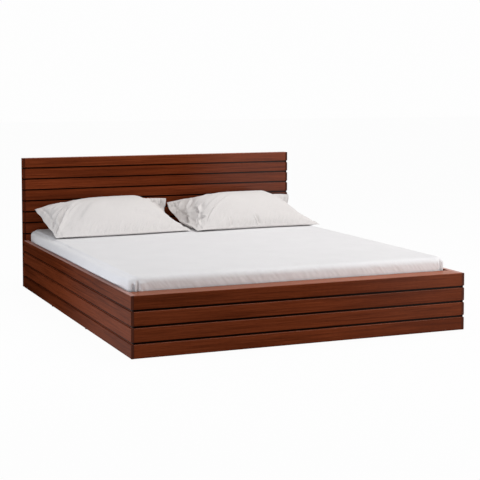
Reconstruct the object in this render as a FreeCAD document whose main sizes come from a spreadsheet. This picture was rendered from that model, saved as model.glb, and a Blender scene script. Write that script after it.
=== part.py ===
"""Double bed with panels of stained planks: headboard, two sides and a deep hollow footboard.

Millimetres. The origin is on the floor under the middle of the bed, +Z is up, the head is at +Y and
the foot at -Y. Tongued planks with a shadow gap between them clad a headboard frame, two side rails
and a footboard box. A deck on ledges and a centre beam carries the mattress, its sheet and two pillows.
"""
import FreeCAD
import Part
import os
import re
import Sketcher

SIDE_ROWS = 4
HEAD_ROWS = 12
HEAD_BARE_ROWS = 3
DECK_BOARDS = 4
PILLOW_CROWN_PANELS = 10
PILLOW_BELLY_PANELS = 6

DRIVING_SIZES = [
    ("mattress_width", 1600, "standard double mattress, across the bed"),
    ("mattress_length", 1900, "standard double mattress, along the bed"),
    ("mattress_thick", 190, "foam mattress without its sheet"),
    ("mattress_corner", 38, "corner radius of the mattress seen from above"),
    ("mattress_edge", 34, "rounding of the mattress's top edge"),
    ("mattress_side_gap", 10, "room between mattress and side rail"),
    ("mattress_end_gap", 7.5, "room at the head and at the foot"),
    ("sheet_thick", 1.5, "fitted sheet"),
    ("sheet_gap", 0.3, "air between mattress and sheet"),
    ("sheet_hem_rise", 12, "hem of the sheet above the deck"),
    ("floor_clearance", 4, "height of the glides under the panels"),
    ("cladding_thick", 12, "stained planks on every outer face"),
    ("cladding_gap", 10, "shadow gap between planks"),
    ("cladding_tongue", 6, "thickness of the tongue that closes a gap at its back"),
    ("cladding_chamfer", 2, "softened long arrises of the planks"),
    ("side_top", 278, "top of the sides and the footboard above the floor"),
    ("head_top", 751.2, "top of the headboard above the floor"),
    ("rail_thick", 13, "structural board of a side"),
    ("foot_board_thick", 15, "front and inner board of the footboard box"),
    ("foot_cavity", 58, "hollow between the footboard's two boards"),
    ("foot_cap_thick", 15, "board that closes the footboard box on top"),
    ("foot_post_width", 60, "corner post inside the footboard box"),
    ("foot_rib_thick", 18, "rib in the middle of the footboard box"),
    ("head_frame_depth", 27, "posts and rails of the headboard, front to back"),
    ("head_post_width", 60, "headboard post, across the bed"),
    ("head_rail_height", 60, "headboard rails"),
    ("head_back_thick", 6, "plywood back of the headboard"),
    ("deck_height", 150, "top of the deck above the floor"),
    ("deck_thick", 18, "plywood deck boards"),
    ("deck_joint", 3, "joint between deck boards"),
    ("deck_side_gap", 2, "room between deck and side rail"),
    ("ledge_width", 25, "batten under the deck's edge"),
    ("ledge_height", 40, "batten under the deck's edge"),
    ("beam_width", 45, "centre beam"),
    ("beam_height", 70, "centre beam"),
    ("leg_depth", 45, "centre legs, along the beam they are as wide as"),
    ("hanger_thick", 3, "steel shoe that holds a beam end"),
    ("hanger_depth", 45, "steel shoe, along the beam"),
    ("hanger_height", 50, "steel shoe, up the beam"),
    ("hanger_gap", 0.4, "room between beam and shoe"),
    ("bracket_leg", 60, "steel corner angle, each leg"),
    ("bracket_thick", 3, "steel corner angle"),
    ("bracket_ledge_gap", 7, "room between the corner angle and the ledge over it"),
    ("bracket_base", 15, "lower edge of the corner angle above the floor"),
    ("bolt_diameter", 8, "bolt shank"),
    ("bolt_head_corners", 15, "hexagonal bolt head across its corners"),
    ("bolt_head_height", 5.3, "hexagonal bolt head"),
    ("bolt_hole_gap", 0.3, "room round a shank"),
    ("bolt_tip_gap", 1, "hole beyond the bolt's tip"),
    ("bolt_cover", 3, "wood left beyond a bolt's hole"),
    ("glide_diameter", 22, "nylon glides"),
    ("glide_back_gap", 2.5, "room between a headboard glide and the plywood back"),
    ("pillow_width", 800, "pillow, across the bed"),
    ("pillow_depth", 464, "pillow, front to back as it lies"),
    ("pillow_crown", 116, "swell of the upper side over its seam"),
    ("pillow_sag", 50, "swell of the underside below its seam"),
    ("pillow_hem", 6, "half thickness of the flat hem"),
    ("pillow_draw_in", 20, "how far the long seams pull in"),
    ("pillow_front_rise", 11, "front seam above the sheet"),
    ("pillow_back_rise", 126, "rear seam above the sheet"),
    ("pillow_rest_gap", 0.3, "air between pillow and sheet"),
    ("pillow_spacing", 9, "room between the two pillows"),
    ("pillow_shift", 14, "both pillows lie this far to the right"),
    ("left_pillow_head_gap", 22, "room behind the left pillow"),
    ("right_pillow_head_gap", 4, "room behind the right pillow"),
    ("cut_overrun", 5, "how far every cutter passes the face it cuts"),
]

DERIVED_SIZES = [
    ("inner_half", "mattress_width / 2 + mattress_side_gap"),
    ("rail_outer", "inner_half + rail_thick"),
    ("half_width", "rail_outer + cladding_thick"),
    ("inner_length", "mattress_length + 2 * mattress_end_gap"),
    ("foot_depth", "cladding_thick + 2 * foot_board_thick + foot_cavity"),
    ("head_depth", "cladding_thick + head_frame_depth + head_back_thick"),
    ("foot_front", "-(foot_depth + inner_length + head_depth) / 2"),
    ("foot_inner", "foot_front + foot_depth"),
    ("head_face", "foot_inner + inner_length"),
    ("head_frame_face", "head_face + cladding_thick"),
    ("head_back_face", "head_frame_face + head_frame_depth"),
    ("foot_core_face", "foot_front + cladding_thick"),
    ("side_pitch", f"(side_top - floor_clearance + cladding_gap) / {SIDE_ROWS}"),
    ("head_pitch", f"(head_top - floor_clearance + cladding_gap) / {HEAD_ROWS}"),
    ("side_plank_height", "side_pitch - cladding_gap"),
    ("head_plank_height", "head_pitch - cladding_gap"),
    ("foot_box_top", "side_top - foot_cap_thick"),
    ("deck_under", "deck_height - deck_thick"),
    ("beam_under", "deck_under - beam_height"),
    ("bracket_height", "deck_under - ledge_height - bracket_ledge_gap - bracket_base"),
    ("rail_bolt_reach", "rail_thick - bolt_tip_gap - bolt_cover"),
    ("post_bolt_reach", "cladding_thick + head_frame_depth - bolt_tip_gap - bolt_cover"),
    ("deck_board_length", f"(inner_length - {DECK_BOARDS + 1} * deck_joint) / {DECK_BOARDS}"),
    ("sheet_offset", "sheet_gap + sheet_thick"),
    ("sheet_top", "deck_height + mattress_thick + sheet_offset"),
]

# Where things lie on the piece that carries them, as shares of that piece.
BOLT_ALONG_LEG_SHARE = 0.5
BOLT_HEIGHT_SHARE = 0.5
SIDE_GLIDE_SHARES = (0.33, 0.67)
CENTRE_LEG_SHARES = (0.33, 0.67)
UPRIGHT_SHARE = 0.5
PILLOW_SECTION_SHARES = (-1, -0.9, -0.7, -0.4, 0, 0.4, 0.7, 0.9, 1)
PILLOW_FULLNESS_POWER = 1.1
LEFT_PILLOW_TURN_DEGREES = 3.0
RIGHT_PILLOW_TURN_DEGREES = 2.5

TURN_TO_LEFT = -90
TURN_TO_RIGHT = 90
VERTICAL = FreeCAD.Vector(0, 0, 1)

doc = FreeCAD.newDocument("double_bed")
sizes = doc.addObject("Spreadsheet::Sheet", "Sizes")
names = [entry[0] for entry in DRIVING_SIZES + DERIVED_SIZES]
word = re.compile(r"[a-z][a-z_]*")


def formula(text):
    """An expression on the sheet: each size named in the text becomes a reference to its cell."""
    return word.sub(lambda hit: "Sizes." + hit.group() if hit.group() in names else hit.group(), text)


for row, (alias, value, note) in enumerate(DRIVING_SIZES, start=1):
    sizes.set(f"A{row}", note)
    sizes.set(f"B{row}", str(value))
    sizes.setAlias(f"B{row}", alias)
for row, (alias, text) in enumerate(DERIVED_SIZES, start=len(DRIVING_SIZES) + 1):
    sizes.set(f"B{row}", "=" + text)
    sizes.setAlias(f"B{row}", alias)
doc.recompute()

nodes = []


def size(alias):
    """The present value of a size, for shapes that are drawn in code."""
    return float(sizes.get(alias))


def keep(piece, label):
    """Makes a finished piece one of the bed's named nodes."""
    piece.Label = label
    nodes.append(piece)
    return piece


def put(piece, corner):
    """Ties a piece's place to the sheet."""
    for axis, text in zip("xyz", corner):
        piece.setExpression(f"Placement.Base.{axis}", formula(text))


def board(name, measures, corner):
    """A plain sawn board, given along X, Y and Z."""
    box = doc.addObject("Part::Box", name)
    for side, text in zip(("Length", "Width", "Height"), measures):
        box.setExpression(side, formula(text))
    put(box, corner)
    return box


def rod(name, radius, length, corner, axis, turn, hexagonal=False):
    """A bar from a point along the turned axis, round or hexagonal."""
    bar = doc.addObject("Part::Prism" if hexagonal else "Part::Cylinder", name)
    bar.setExpression("Circumradius" if hexagonal else "Radius", formula(radius))
    bar.setExpression("Height", formula(length))
    bar.Placement = FreeCAD.Placement(FreeCAD.Vector(), FreeCAD.Rotation(axis, turn))
    put(bar, corner)
    return bar


def group(name, pieces):
    """Separate solids that share one node."""
    bundle = doc.addObject("Part::Compound", name)
    bundle.Links = pieces
    return bundle


def drilled(name, blank, drills):
    """A blank with holes cut where the drills pass."""
    cut = doc.addObject("Part::Cut", name)
    cut.Base = blank
    cut.Tool = group(name + "_drills", drills)
    return cut


def outline(body, name, plane, corners, lengths):
    """A sketch of level and upright sides round the given rough corners, the first at the body's origin.

    Each length ties one side, by its number, to the sheet, and the side keeps its direction.
    """
    sketch = body.newObject("Sketcher::SketchObject", name)
    support = next(item for item in body.Origin.OriginFeatures if item.Role == plane)
    sketch.AttachmentSupport = [(support, "")]
    sketch.MapMode = "FlatFace"
    for start, end in zip(corners, corners[1:] + corners[:1]):
        line = Part.LineSegment(FreeCAD.Vector(*start, 0), FreeCAD.Vector(*end, 0))
        sketch.addGeometry(line, False)
    for side in range(len(corners)):
        sketch.addConstraint(Sketcher.Constraint("Coincident", side, 2, (side + 1) % len(corners), 1))
        sketch.addConstraint(Sketcher.Constraint("Vertical" if side % 2 else "Horizontal", side))
    sketch.addConstraint(Sketcher.Constraint("Coincident", 0, 1, -1, 1))
    for side, text in lengths.items():
        start, end = corners[side], corners[(side + 1) % len(corners)]
        near, far = (1, 2) if start < end else (2, 1)
        kind = "DistanceY" if side % 2 else "DistanceX"
        rough_length = abs(sum(end) - sum(start))
        run = sketch.addConstraint(Sketcher.Constraint(kind, side, near, side, far, rough_length))
        sketch.setExpression(f"Constraints[{run}]", formula(text))
    return sketch


def rectangle(body, name, plane, wide, high):
    """A sketched rectangle from the body's origin, its two sides tied to the sheet."""
    return outline(body, name, plane, [(0, 0), (1, 0), (1, 1), (0, 1)], {0: wide, 1: high})


def pad(body, name, sketch, length):
    """Raises a sketch into a solid."""
    solid = body.newObject("PartDesign::Pad", name)
    solid.Profile = sketch
    solid.setExpression("Length", formula(length))
    doc.recompute()
    return solid


def edges_where(feature, test):
    """Names of a feature's edges whose two ends both pass a test."""
    found = []
    for number, edge in enumerate(feature.Shape.Edges, start=1):
        if all(test(vertex.Point) for vertex in edge.Vertexes):
            found.append((f"Edge{number}", edge))
    return found


def plank(name, length, height, corner, turn, tongued=True):
    """A stained plank with its two long outer arrises chamfered; the outer face is its own -Y.

    A tongue below it closes the shadow gap at the back, down to the next plank.
    """
    body = doc.addObject("PartDesign::Body", name)
    if tongued:
        corners = [(0, 0), (1, 0), (1, -1), (2, -1), (2, 1), (0, 1)]
        lengths = {0: "cladding_thick - cladding_tongue", 1: "cladding_gap", 2: "cladding_tongue", 5: height}
        section = outline(body, name + "_section", "YZ_Plane", corners, lengths)
    else:
        section = rectangle(body, name + "_section", "YZ_Plane", "cladding_thick", height)
    blank = pad(body, name + "_blank", section, length)
    outer = edges_where(blank, lambda point: abs(point.y) < size("cladding_chamfer") / 2)
    along = [label for label, edge in outer if abs(edge.tangentAt(edge.FirstParameter).x) > abs(
        edge.tangentAt(edge.FirstParameter).z)]
    chamfer = body.newObject("PartDesign::Chamfer", name + "_arrises")
    chamfer.Base = (blank, along)
    chamfer.setExpression("Size", formula("cladding_chamfer"))
    body.Placement = FreeCAD.Placement(FreeCAD.Vector(), FreeCAD.Rotation(VERTICAL, turn))
    put(body, corner)
    return body


def soft_block(name, wide, long, high, corner_radius, edge_radius, corner):
    """A block with round corners and a rolled top edge."""
    body = doc.addObject("PartDesign::Body", name)
    plan = rectangle(body, name + "_plan", "XY_Plane", wide, long)
    block = pad(body, name + "_block", plan, high)
    top = block.Shape.BoundBox.ZMax
    upright = [label for label, edge in edges_where(block, lambda point: True)
               if abs(edge.tangentAt(edge.FirstParameter).z) > UPRIGHT_SHARE]
    corners = body.newObject("PartDesign::Fillet", name + "_corners")
    corners.Base = (block, upright)
    corners.setExpression("Radius", formula(corner_radius))
    doc.recompute()
    rims = edges_where(corners, lambda point: abs(point.z - top) < size("sheet_gap") / 2)
    rolled = body.newObject("PartDesign::Fillet", name + "_rolled_edges")
    rolled.Base = (corners, [label for label, edge in rims])
    rolled.setExpression("Radius", formula(edge_radius))
    put(body, corner)
    return body


# Headboard: two posts, three rails and a plywood back make the frame.
# Planks clad its front above the deck and short planks clad its two ends down to the floor, up to the back.
post_height = "head_top - floor_clearance"
post_measures = ("head_post_width", "head_frame_depth", post_height)
rail_span = "2 * (rail_outer - head_post_width)"
rail_levels = {
    "headboard_top_rail": "head_top - head_rail_height",
    "headboard_middle_rail": "(head_top + deck_height - head_rail_height) / 2",
    "headboard_bottom_rail": "deck_height - head_rail_height",
}
head_posts = {
    "left": board("head_post_left_blank", post_measures,
                  ("-rail_outer", "head_frame_face", "floor_clearance")),
    "right": board("head_post_right_blank", post_measures,
                   ("rail_outer - head_post_width", "head_frame_face", "floor_clearance")),
}
for label, level in rail_levels.items():
    rail = board(label, (rail_span, "head_frame_depth", "head_rail_height"),
                 ("-(rail_outer - head_post_width)", "head_frame_face", level))
    keep(rail, label)
keep(board("headboard_back_panel", ("2 * half_width", "head_back_thick", post_height),
           ("-half_width", "head_back_face", "floor_clearance")), "headboard_back_panel")
lower_board_height = f"{HEAD_BARE_ROWS} * head_pitch - cladding_gap"
lower_board_blank = board("head_lower_blank", ("2 * rail_outer", "cladding_thick", lower_board_height),
                          ("-rail_outer", "head_face", "floor_clearance"))
for row in range(HEAD_BARE_ROWS, HEAD_ROWS):
    label = f"headboard_plank_{HEAD_ROWS - row:02d}"
    level = f"floor_clearance + {row} * head_pitch"
    keep(plank(label, "2 * rail_outer", "head_plank_height", ("-rail_outer", "head_face", level), 0), label)
end_places = {
    "left": ("-half_width", "head_back_face", TURN_TO_LEFT),
    "right": ("half_width", "head_face", TURN_TO_RIGHT),
}
for hand, (across, along, turn) in end_places.items():
    label = f"headboard_end_planks_{hand}"
    end_length = "head_back_face - head_face"
    strips = []
    for row in range(HEAD_ROWS):
        corner = (across, along, f"floor_clearance + {row} * head_pitch")
        strips.append(plank(f"{label}_{row}", end_length, "head_plank_height", corner, turn, row > 0))
    keep(group(label, strips), label)

# Sides: a structural rail clad with planks that run past the footboard's ends, and a ledge for the deck.
side_length = "head_face - foot_front"
rail_measures = ("rail_thick", "head_face - foot_core_face", "side_top - floor_clearance")
side_rails = {
    "left": board("rail_left_blank", rail_measures, ("-rail_outer", "foot_core_face", "floor_clearance")),
    "right": board("rail_right_blank", rail_measures, ("inner_half", "foot_core_face", "floor_clearance")),
}
side_places = {
    "left": ("-half_width", "head_face", TURN_TO_LEFT, "-inner_half"),
    "right": ("half_width", "foot_front", TURN_TO_RIGHT, "inner_half - ledge_width"),
}
for hand, (across, along, turn, ledge_start) in side_places.items():
    for row in range(SIDE_ROWS):
        label = f"{hand}_side_plank_{SIDE_ROWS - row}"
        level = f"floor_clearance + {row} * side_pitch"
        corner = (across, along, level)
        keep(plank(label, side_length, "side_plank_height", corner, turn, row > 0), label)
    label = f"deck_ledge_{hand}"
    ledge = board(label, ("ledge_width", "inner_length", "ledge_height"),
                  (ledge_start, "foot_inner", "deck_under - ledge_height"))
    keep(ledge, label)

# Footboard: a hollow box of two boards, corner posts, a rib and a cap, clad with planks at the front.
foot_box_height = "foot_box_top - floor_clearance"
foot_hollow_face = "foot_core_face + foot_board_thick"
keep(board("footboard_front_board", ("2 * inner_half", "foot_board_thick", foot_box_height),
           ("-inner_half", "foot_core_face", "floor_clearance")), "footboard_front_board")
foot_inner_blank = board("foot_inner_blank", ("2 * inner_half", "foot_board_thick", foot_box_height),
                         ("-inner_half", "foot_inner - foot_board_thick", "floor_clearance"))
keep(board("footboard_rib", ("foot_rib_thick", "foot_cavity", foot_box_height),
           ("-foot_rib_thick / 2", foot_hollow_face, "floor_clearance")), "footboard_rib")
keep(board("footboard_top_cap", ("2 * inner_half", "foot_depth - cladding_thick", "foot_cap_thick"),
           ("-inner_half", "foot_core_face", "foot_box_top")), "footboard_top_cap")
foot_post_measures = ("foot_post_width", "foot_cavity", foot_box_height)
foot_posts = {
    "left": board("foot_post_left_blank", foot_post_measures,
                  ("-inner_half", foot_hollow_face, "floor_clearance")),
    "right": board("foot_post_right_blank", foot_post_measures,
                   ("inner_half - foot_post_width", foot_hollow_face, "floor_clearance")),
}
for row in range(SIDE_ROWS):
    label = f"footboard_plank_{SIDE_ROWS - row}"
    corner = ("-rail_outer", "foot_front", f"floor_clearance + {row} * side_pitch")
    keep(plank(label, "2 * rail_outer", "side_plank_height", corner, 0, row > 0), label)

# Corner angles: a steel angle below each end of the ledges bolts a side rail to the headboard and footboard.
# Every hole takes its place and size from the bolt that passes it.
brackets = []
rail_bolts = []
post_bolts = []
rail_drills = {"left": [], "right": []}
post_drills = {"head": [], "foot": []}
hand_drills = {("head", "left"): [], ("head", "right"): [], ("foot", "left"): [], ("foot", "right"): []}
ACROSS = FreeCAD.Vector(0, 1, 0)
ALONG = FreeCAD.Vector(1, 0, 0)


def bolt(name, reach, corner, axis, turn):
    """A hexagonal bolt: its shank goes through the angle from the given point under its head."""
    shank = rod(name + "_shank", "bolt_diameter / 2", f"bracket_thick + {reach}", corner, axis, turn)
    head = rod(name + "_head", "bolt_head_corners / 2", "bolt_head_height", corner, axis,
               turn + 2 * TURN_TO_RIGHT, hexagonal=True)
    whole = doc.addObject("Part::Fuse", name)
    whole.Base = shank
    whole.Tool = head
    return whole


def drill(name, reach, corner, axis, turn):
    """The hole for such a bolt, through the angle and on into the wood."""
    return rod(name + "_hole", "bolt_diameter / 2 + bolt_hole_gap", f"bracket_thick + {reach} + bolt_tip_gap",
               corner, axis, turn)


for end in ("head", "foot"):
    for hand in ("left", "right"):
        name = f"angle_{end}_{hand}"
        sign = 1 if hand == "right" else -1
        face = "head_face" if end == "head" else "foot_inner"
        back = -1 if end == "head" else 1
        leg_x = "inner_half - bracket_leg" if hand == "right" else "-inner_half"
        leg_y = f"{face} - bracket_leg" if end == "head" else face
        whole = board(name + "_blank", ("bracket_leg", "bracket_leg", "bracket_height"),
                      (leg_x, leg_y, "bracket_base"))
        waste_x = f"{leg_x} - cut_overrun" if hand == "right" else f"{leg_x} + bracket_thick"
        waste_y = f"{leg_y} - cut_overrun" if end == "head" else f"{leg_y} + bracket_thick"
        inner = "bracket_leg - bracket_thick + cut_overrun"
        waste = board(name + "_waste", (inner, inner, "bracket_height + 2 * cut_overrun"),
                      (waste_x, waste_y, "bracket_base - cut_overrun"))
        level = f"bracket_base + {BOLT_HEIGHT_SHARE} * bracket_height"
        beside = f"{face} + {back * BOLT_ALONG_LEG_SHARE} * bracket_leg"
        rail_corner = (f"{sign} * (inner_half - bracket_thick)", beside, level)
        rail_turn = sign * TURN_TO_RIGHT
        rail_bolts.append(bolt(name + "_rail_bolt", "rail_bolt_reach", rail_corner, ACROSS, rail_turn))
        rail_hole = drill(name + "_rail", "rail_bolt_reach", rail_corner, ACROSS, rail_turn)
        rail_drills[hand].append(rail_hole)
        inward = f"{sign} * (inner_half - {BOLT_ALONG_LEG_SHARE} * bracket_leg)"
        post_corner = (inward, f"{face} + {back} * bracket_thick", level)
        post_turn = back * TURN_TO_RIGHT
        post_bolts.append(bolt(name + "_post_bolt", "post_bolt_reach", post_corner, ALONG, post_turn))
        post_hole = drill(name + "_post", "post_bolt_reach", post_corner, ALONG, post_turn)
        post_drills[end].append(post_hole)
        hand_drills[(end, hand)].append(post_hole)
        brackets.append(drilled(name, whole, [waste, rail_hole, post_hole]))
keep(group("corner_angles", brackets), "corner_angles")
keep(group("rail_bolts", rail_bolts), "rail_bolts")
keep(group("post_bolts", post_bolts), "post_bolts")
for hand in ("left", "right"):
    label = f"side_rail_{hand}"
    keep(drilled(label, side_rails[hand], rail_drills[hand]), label)
    label = f"headboard_post_{hand}"
    keep(drilled(label, head_posts[hand], hand_drills[("head", hand)]), label)
    label = f"footboard_post_{hand}"
    keep(drilled(label, foot_posts[hand], hand_drills[("foot", hand)]), label)
keep(drilled("headboard_lower_board", lower_board_blank, post_drills["head"]), "headboard_lower_board")
keep(drilled("footboard_inner_board", foot_inner_blank, post_drills["foot"]), "footboard_inner_board")

# Base: a centre beam hung in two steel shoes and propped by two legs, and plywood boards across it.
shoe_places = {
    "foot": ("foot_inner", "foot_inner + hanger_thick"),
    "head": ("head_face - hanger_depth", "head_face - hanger_depth - cut_overrun"),
}
shoes = []
for end, (outside, inside) in shoe_places.items():
    half = "(beam_width / 2 + hanger_gap)"
    shoe = board(f"shoe_{end}_blank",
                 (f"2 * ({half} + hanger_thick)", "hanger_depth", "hanger_height + hanger_thick"),
                 (f"-({half} + hanger_thick)", outside, "beam_under - hanger_thick"))
    room = board(f"shoe_{end}_room",
                 (f"2 * {half}", "hanger_depth - hanger_thick + cut_overrun", "hanger_height + cut_overrun"),
                 (f"-{half}", inside, "beam_under"))
    shoes.append(drilled(f"shoe_{end}", shoe, [room]))
keep(group("beam_hangers", shoes), "beam_hangers")
beam_inset = "(hanger_thick + hanger_gap)"
keep(board("centre_beam", ("beam_width", f"inner_length - 2 * {beam_inset}", "beam_height"),
           ("-beam_width / 2", f"foot_inner + {beam_inset}", "beam_under")), "centre_beam")
leg_centres = [f"(foot_inner + {share} * inner_length)" for share in CENTRE_LEG_SHARES]
for label, centre in zip(("centre_leg_front", "centre_leg_rear"), leg_centres):
    keep(board(label, ("beam_width", "leg_depth", "beam_under - floor_clearance"),
               ("-beam_width / 2", f"{centre} - leg_depth / 2", "floor_clearance")), label)
for number in range(DECK_BOARDS):
    label = f"deck_board_{number + 1}"
    start = f"foot_inner + deck_joint + {number} * (deck_board_length + deck_joint)"
    keep(board(label, ("2 * (inner_half - deck_side_gap)", "deck_board_length", "deck_thick"),
               ("-(inner_half - deck_side_gap)", start, "deck_under")), label)

# Glides: nylon discs under both pairs of posts, the side panels and the centre legs.
side_line = "(inner_half + half_width) / 2"
glide_spots = []
for sign in ("", "-"):
    glide_spots.append((f"{sign}(rail_outer - head_post_width / 2)",
                        "head_back_face - glide_back_gap - glide_diameter / 2"))
    glide_spots.append((f"{sign}(inner_half - foot_post_width / 2)", f"{foot_hollow_face} + foot_cavity / 2"))
    for share in SIDE_GLIDE_SHARES:
        glide_spots.append((f"{sign}{side_line}", f"foot_inner + {share} * inner_length"))
for centre in leg_centres:
    glide_spots.append(("0", centre))
glides = []
for number, (across, along) in enumerate(glide_spots):
    spot = (across, along, "0")
    glides.append(rod(f"glide_{number}", "glide_diameter / 2", "floor_clearance", spot, VERTICAL, 0))
keep(group("floor_glides", glides), "floor_glides")

# Mattress and fitted sheet: a foam block with rolled edges, and the cotton skin over its top and sides.
keep(soft_block("mattress", "mattress_width", "mattress_length", "mattress_thick", "mattress_corner",
                "mattress_edge", ("-mattress_width / 2", "foot_inner + mattress_end_gap", "deck_height")),
     "mattress")
sheet_start = "foot_inner + mattress_end_gap"
sheet_outside = soft_block("sheet_outside",
                           "mattress_width + 2 * sheet_offset", "mattress_length + 2 * sheet_offset",
                           "mattress_thick + sheet_offset - sheet_hem_rise",
                           "mattress_corner + sheet_offset", "mattress_edge + sheet_offset",
                           ("-mattress_width / 2 - sheet_offset", f"{sheet_start} - sheet_offset",
                            "deck_height + sheet_hem_rise"))
sheet_inside = soft_block("sheet_inside",
                          "mattress_width + 2 * sheet_gap", "mattress_length + 2 * sheet_gap",
                          "mattress_thick + sheet_gap - sheet_hem_rise + cut_overrun",
                          "mattress_corner + sheet_gap", "mattress_edge + sheet_gap",
                          ("-mattress_width / 2 - sheet_gap", f"{sheet_start} - sheet_gap",
                           "deck_height + sheet_hem_rise - cut_overrun"))
keep(drilled("fitted_sheet", sheet_outside, [sheet_inside]), "fitted_sheet")


def pillow_form():
    """A plump pillow: lens sections across its width, full in the middle and flat at the hems.

    Each section has narrow panels along an upper and a lower arc between the front and the rear seam.
    The rear seam lies higher, because the pillow leans on its stuffing, and the long seams pull in.
    """
    sections = []
    for share in PILLOW_SECTION_SHARES:
        fullness = (1 - share ** 2) ** PILLOW_FULLNESS_POWER
        across = share * size("pillow_width") / 2
        pulled = size("pillow_draw_in") * fullness
        front = FreeCAD.Vector(across, -size("pillow_depth") / 2 + pulled, size("pillow_front_rise"))
        rear = FreeCAD.Vector(across, size("pillow_depth") / 2 - pulled, size("pillow_back_rise"))
        middle = (front + rear) / 2
        upward = FreeCAD.Vector(1, 0, 0).cross((rear - front).normalize())
        crown = middle + upward * (size("pillow_hem") + size("pillow_crown") * fullness)
        belly = middle - upward * (size("pillow_hem") + size("pillow_sag") * fullness)
        over = Part.Arc(front, crown, rear).toShape().discretize(PILLOW_CROWN_PANELS + 1)
        under = Part.Arc(rear, belly, front).toShape().discretize(PILLOW_BELLY_PANELS + 1)
        sections.append(Part.makePolygon(over + under[1:-1] + [front]))
    return Part.makeLoft(sections, True, True)


pillow_span = (size("pillow_width") + size("pillow_spacing")) / 2
pillow_middle = size("pillow_shift")
pillow_places = {
    "pillow_left": (pillow_middle - pillow_span, size("left_pillow_head_gap"), LEFT_PILLOW_TURN_DEGREES),
    "pillow_right": (pillow_middle + pillow_span, size("right_pillow_head_gap"), RIGHT_PILLOW_TURN_DEGREES),
}
for label, (across, head_gap, turn) in pillow_places.items():
    form = pillow_form()
    turned = form.copy()
    turned.rotate(FreeCAD.Vector(), VERTICAL, turn)
    reach = turned.optimalBoundingBox()
    along = size("head_face") - head_gap - reach.YMax
    level = size("sheet_top") + size("pillow_rest_gap") - reach.ZMin
    pillow = doc.addObject("Part::Feature", label)
    pillow.Shape = form
    spot = FreeCAD.Vector(across, along, level)
    pillow.Placement = FreeCAD.Placement(spot, FreeCAD.Rotation(VERTICAL, turn))
    keep(pillow, label)

doc.recompute()
faults = [item.Name for item in doc.Objects if {"Invalid", "Error"} & set(item.State)]
for piece in nodes:
    if piece.Shape.isNull() or not piece.Shape.isValid() or not piece.Shape.Solids:
        faults.append(piece.Label)
if faults:
    raise RuntimeError("these pieces failed: " + ", ".join(faults))

os.makedirs("parts", exist_ok=True)
for piece in nodes:
    piece.Shape.exportStep(f"parts/{piece.Label}.step")
print(len(nodes), "nodes written")
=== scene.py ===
"""A low double bed of stained planks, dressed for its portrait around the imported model.

Metres, in the model's own frame: the origin is on the floor under the middle of the bed, +Z is up,
the headboard is at +Y and the footboard at -Y.
"""

import math

import bpy
import numpy as np
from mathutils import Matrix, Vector, noise


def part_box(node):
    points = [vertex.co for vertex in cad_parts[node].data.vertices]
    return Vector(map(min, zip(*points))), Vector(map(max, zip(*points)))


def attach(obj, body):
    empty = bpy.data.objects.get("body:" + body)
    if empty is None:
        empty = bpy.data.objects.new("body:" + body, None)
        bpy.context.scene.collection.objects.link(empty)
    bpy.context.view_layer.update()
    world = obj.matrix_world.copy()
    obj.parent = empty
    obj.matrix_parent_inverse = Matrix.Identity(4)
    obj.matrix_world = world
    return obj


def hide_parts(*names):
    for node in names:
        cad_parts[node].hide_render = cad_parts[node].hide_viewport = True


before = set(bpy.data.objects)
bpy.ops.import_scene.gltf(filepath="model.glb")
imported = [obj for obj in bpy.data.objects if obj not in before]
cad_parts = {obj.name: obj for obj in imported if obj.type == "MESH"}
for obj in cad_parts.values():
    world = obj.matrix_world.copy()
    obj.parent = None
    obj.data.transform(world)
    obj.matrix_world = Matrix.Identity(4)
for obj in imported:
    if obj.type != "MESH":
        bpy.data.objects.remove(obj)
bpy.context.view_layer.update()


# Inner timber. Planed softwood rails, footboard posts, ledges, beam and legs carry the boards and stay
# unstained, because the planks, the cap and the mattress hide them.
def seen(red, green, blue):
    """A colour as a screen shows it, in the linear values that a shader takes."""
    levels = [value / 255 for value in (red, green, blue)]
    return [((share + 0.055) / 1.055) ** 2.4 if share > 0.04 else share / 12.92 for share in levels] + [1.0]


def place(tree, kind, fill=None, **options):
    """Adds a node to a tree, sets its options, and fills or links its sockets."""
    node = tree.nodes.new(kind)
    for option, value in options.items():
        setattr(node, option, value)
    for socket, value in (fill or {}).items():
        if isinstance(value, bpy.types.NodeSocket):
            tree.links.new(value, node.inputs[socket])
        else:
            node.inputs[socket].default_value = value
    return node


def added(tree, kind, fill=None, **options):
    """The first output of a node added to a tree."""
    return place(tree, kind, fill, **options).outputs[0]


def reckoned(tree, operation, first, second=0.0):
    """A Math node's result."""
    return added(tree, "ShaderNodeMath", {0: first, 1: second}, operation=operation)


def scaled(tree, vector, factor):
    """A colour or a place, times one number."""
    return added(tree, "ShaderNodeVectorMath", {0: vector, "Scale": factor}, operation="SCALE")


def stretched(tree, vector, factors):
    """A place, times a number for each axis."""
    return added(tree, "ShaderNodeVectorMath", {0: vector, 1: factors}, operation="MULTIPLY")


def spread(tree, value, low, high, first=0.0, last=1.0, way="SMOOTHSTEP"):
    """A value taken from one range to another."""
    fill = {"Value": value, "From Min": low, "From Max": high, "To Min": first, "To Max": last}
    return added(tree, "ShaderNodeMapRange", fill, interpolation_type=way)


def mixed(tree, share, first, second, blend="MIX"):
    """Two colours mixed by a share; 6 and 7 are the node's sockets for colours."""
    fill = {0: share, 6: first, 7: second}
    return place(tree, "ShaderNodeMix", fill, data_type="RGBA", blend_type=blend).outputs[2]


def mottled(tree, spot, scale, detail, seed=None):
    """Noise at a place; a seed picks one of many patterns."""
    fill = {"Vector": spot, "Scale": scale, "Detail": detail}
    if seed is None:
        return added(tree, "ShaderNodeTexNoise", fill)
    fill["W"] = seed
    return added(tree, "ShaderNodeTexNoise", fill, noise_dimensions="4D")


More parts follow.
